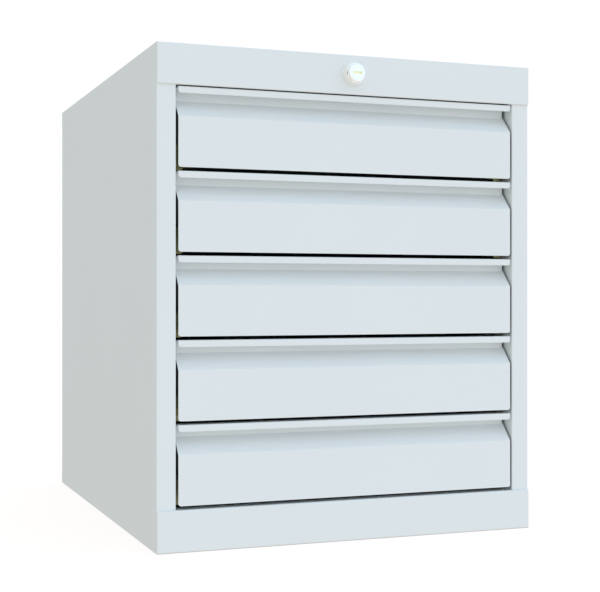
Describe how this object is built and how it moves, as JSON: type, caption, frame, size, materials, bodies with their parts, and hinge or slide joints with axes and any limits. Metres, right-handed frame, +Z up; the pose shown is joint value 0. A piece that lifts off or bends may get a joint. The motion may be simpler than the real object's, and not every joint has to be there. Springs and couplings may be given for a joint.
{
  "type": "flat file cabinet",
  "caption": "Low steel flat file cabinet with full-width recessed pulls, drawers on roller runners and one central push lock in the fascia.",
  "frame": {"origin": "on the floor under the middle of the carcass, not counting the lock", "axes": "+Z up, +Y to the rear, +X to the right as seen from the front"},
  "size_m": [0.398, 0.5108, 0.48],
  "materials": {
    "body_paint": "pale grey powder coat, fine orange peel, satin",
    "yellow_zinc": "yellow-passivated zinc plate",
    "zinc_plate": "bright zinc plate",
    "roller_nylon": "moulded natural nylon",
    "black_nylon": "moulded black nylon",
    "lock_nickel": "satin nickel",
    "lock_chrome": "bright nickel plate",
    "lock_brass": "nickel-faced brass",
    "spring_steel": "bright spring wire"
  },
  "bodies": {
    "cabinet": {"left_side_panel": "body_paint", "right_side_panel": "body_paint", "top_panel": "body_paint", "base_panel": "body_paint", "back_panel": "body_paint", "left_upright": "zinc_plate", "right_upright": "zinc_plate", "left_cabinet_runners": "yellow_zinc", "right_cabinet_runners": "yellow_zinc", "front_roller_pins": "zinc_plate", "runner_screws": "zinc_plate", "lock_housing": "lock_nickel", "lock_nut": "zinc_plate", "rod_guide": "zinc_plate", "crank_bracket": "zinc_plate", "crank_pin": "zinc_plate", "lock_bar_guides": "black_nylon", "lock_bar_spring": "spring_steel"},
    "drawer_1": {"drawer_1_front": "body_paint", "drawer_1_tray": "body_paint", "drawer_1_runners": "yellow_zinc", "drawer_1_roller_pins": "zinc_plate", "drawer_1_lock_catch": "zinc_plate"},
    "drawer_1_rear_rollers": {"drawer_1_rear_rollers": "roller_nylon"},
    "drawer_1_front_rollers": {"drawer_1_front_rollers": "roller_nylon"},
    "drawer_2": {"drawer_2_front": "body_paint", "drawer_2_tray": "body_paint", "drawer_2_runners": "yellow_zinc", "drawer_2_roller_pins": "zinc_plate", "drawer_2_lock_catch": "zinc_plate"},
    "drawer_2_rear_rollers": {"drawer_2_rear_rollers": "roller_nylon"},
    "drawer_2_front_rollers": {"drawer_2_front_rollers": "roller_nylon"},
    "drawer_3": {"drawer_3_front": "body_paint", "drawer_3_tray": "body_paint", "drawer_3_runners": "yellow_zinc", "drawer_3_roller_pins": "zinc_plate", "drawer_3_lock_catch": "zinc_plate"},
    "drawer_3_rear_rollers": {"drawer_3_rear_rollers": "roller_nylon"},
    "drawer_3_front_rollers": {"drawer_3_front_rollers": "roller_nylon"},
    "drawer_4": {"drawer_4_front": "body_paint", "drawer_4_tray": "body_paint", "drawer_4_runners": "yellow_zinc", "drawer_4_roller_pins": "zinc_plate", "drawer_4_lock_catch": "zinc_plate"},
    "drawer_4_rear_rollers": {"drawer_4_rear_rollers": "roller_nylon"},
    "drawer_4_front_rollers": {"drawer_4_front_rollers": "roller_nylon"},
    "drawer_5": {"drawer_5_front": "body_paint", "drawer_5_tray": "body_paint", "drawer_5_runners": "yellow_zinc", "drawer_5_roller_pins": "zinc_plate", "drawer_5_lock_catch": "zinc_plate"},
    "drawer_5_rear_rollers": {"drawer_5_rear_rollers": "roller_nylon"},
    "drawer_5_front_rollers": {"drawer_5_front_rollers": "roller_nylon"},
    "lock_plunger": {"lock_plunger": "lock_chrome", "push_rod": "zinc_plate"},
    "lock_core": {"lock_core": "lock_brass"},
    "bell_crank": {"bell_crank": "zinc_plate"},
    "lock_bar": {"lock_bar": "zinc_plate", "lock_bar_teeth": "zinc_plate"}
  },
  "joints": [
    {"name": "drawer_1_slide", "type": "slide", "parent": "cabinet", "child": "drawer_1", "axis": [0, -1, 0], "range_m": [0, 0.34]},
    {"name": "drawer_1_rear_roller_spin", "type": "hinge", "parent": "drawer_1", "child": "drawer_1_rear_rollers", "pos_m": [0, 0.19185, 0.37125], "axis": [1, 0, 0], "continuous": true},
    {"name": "drawer_1_front_roller_spin", "type": "hinge", "parent": "cabinet", "child": "drawer_1_front_rollers", "pos_m": [0, -0.204, 0.37165], "axis": [1, 0, 0], "continuous": true},
    {"name": "drawer_2_slide", "type": "slide", "parent": "cabinet", "child": "drawer_2", "axis": [0, -1, 0], "range_m": [0, 0.34]},
    {"name": "drawer_2_rear_roller_spin", "type": "hinge", "parent": "drawer_2", "child": "drawer_2_rear_rollers", "pos_m": [0, 0.19185, 0.29125], "axis": [1, 0, 0], "continuous": true},
    {"name": "drawer_2_front_roller_spin", "type": "hinge", "parent": "cabinet", "child": "drawer_2_front_rollers", "pos_m": [0, -0.204, 0.29165], "axis": [1, 0, 0], "continuous": true},
    {"name": "drawer_3_slide", "type": "slide", "parent": "cabinet", "child": "drawer_3", "axis": [0, -1, 0], "range_m": [0, 0.34]},
    {"name": "drawer_3_rear_roller_spin", "type": "hinge", "parent": "drawer_3", "child": "drawer_3_rear_rollers", "pos_m": [0, 0.19185, 0.21125], "axis": [1, 0, 0], "continuous": true},
    {"name": "drawer_3_front_roller_spin", "type": "hinge", "parent": "cabinet", "child": "drawer_3_front_rollers", "pos_m": [0, -0.204, 0.21165], "axis": [1, 0, 0], "continuous": true},
    {"name": "drawer_4_slide", "type": "slide", "parent": "cabinet", "child": "drawer_4", "axis": [0, -1, 0], "range_m": [0, 0.34]},
    {"name": "drawer_4_rear_roller_spin", "type": "hinge", "parent": "drawer_4", "child": "drawer_4_rear_rollers", "pos_m": [0, 0.19185, 0.13125], "axis": [1, 0, 0], "continuous": true},
    {"name": "drawer_4_front_roller_spin", "type": "hinge", "parent": "cabinet", "child": "drawer_4_front_rollers", "pos_m": [0, -0.204, 0.13165], "axis": [1, 0, 0], "continuous": true},
    {"name": "drawer_5_slide", "type": "slide", "parent": "cabinet", "child": "drawer_5", "axis": [0, -1, 0], "range_m": [0, 0.34]},
    {"name": "drawer_5_rear_roller_spin", "type": "hinge", "parent": "drawer_5", "child": "drawer_5_rear_rollers", "pos_m": [0, 0.19185, 0.05125], "axis": [1, 0, 0], "continuous": true},
    {"name": "drawer_5_front_roller_spin", "type": "hinge", "parent": "cabinet", "child": "drawer_5_front_rollers", "pos_m": [0, -0.204, 0.05165], "axis": [1, 0, 0], "continuous": true},
    {"name": "lock_plunger_press", "type": "slide", "parent": "cabinet", "child": "lock_plunger", "axis": [0, 1, 0], "range_m": [0, 0.006]},
    {"name": "lock_core_turn", "type": "hinge", "parent": "lock_plunger", "child": "lock_core", "pos_m": [0, -0.2608, 0.461], "axis": [0, 1, 0], "range_deg": [0, 90]},
    {"name": "bell_crank_turn", "type": "hinge", "parent": "cabinet", "child": "bell_crank", "pos_m": [0, 0.21578, 0.44528], "axis": [1, 0, 0], "range_deg": [-22, 0]},
    {"name": "lock_bar_drop", "type": "slide", "parent": "cabinet", "child": "lock_bar", "axis": [0, 0, -1], "range_m": [0, 0.006], "deforming": ["lock_bar_spring"]}
  ],
  "couplings": [
    {"joint": "drawer_1_rear_roller_spin", "follows": "drawer_1_slide", "rad_per_m": 128.21},
    {"joint": "drawer_1_front_roller_spin", "follows": "drawer_1_slide", "rad_per_m": 128.21},
    {"joint": "drawer_2_rear_roller_spin", "follows": "drawer_2_slide", "rad_per_m": 128.21},
    {"joint": "drawer_2_front_roller_spin", "follows": "drawer_2_slide", "rad_per_m": 128.21},
    {"joint": "drawer_3_rear_roller_spin", "follows": "drawer_3_slide", "rad_per_m": 128.21},
    {"joint": "drawer_3_front_roller_spin", "follows": "drawer_3_slide", "rad_per_m": 128.21},
    {"joint": "drawer_4_rear_roller_spin", "follows": "drawer_4_slide", "rad_per_m": 128.21},
    {"joint": "drawer_4_front_roller_spin", "follows": "drawer_4_slide", "rad_per_m": 128.21},
    {"joint": "drawer_5_rear_roller_spin", "follows": "drawer_5_slide", "rad_per_m": 128.21},
    {"joint": "drawer_5_front_roller_spin", "follows": "drawer_5_slide", "rad_per_m": 128.21},
    {"joint": "bell_crank_turn", "follows": "lock_plunger_press", "rad_per_m": -62.872},
    {"joint": "lock_bar_drop", "follows": "lock_plunger_press", "ratio": 1}
  ]
}
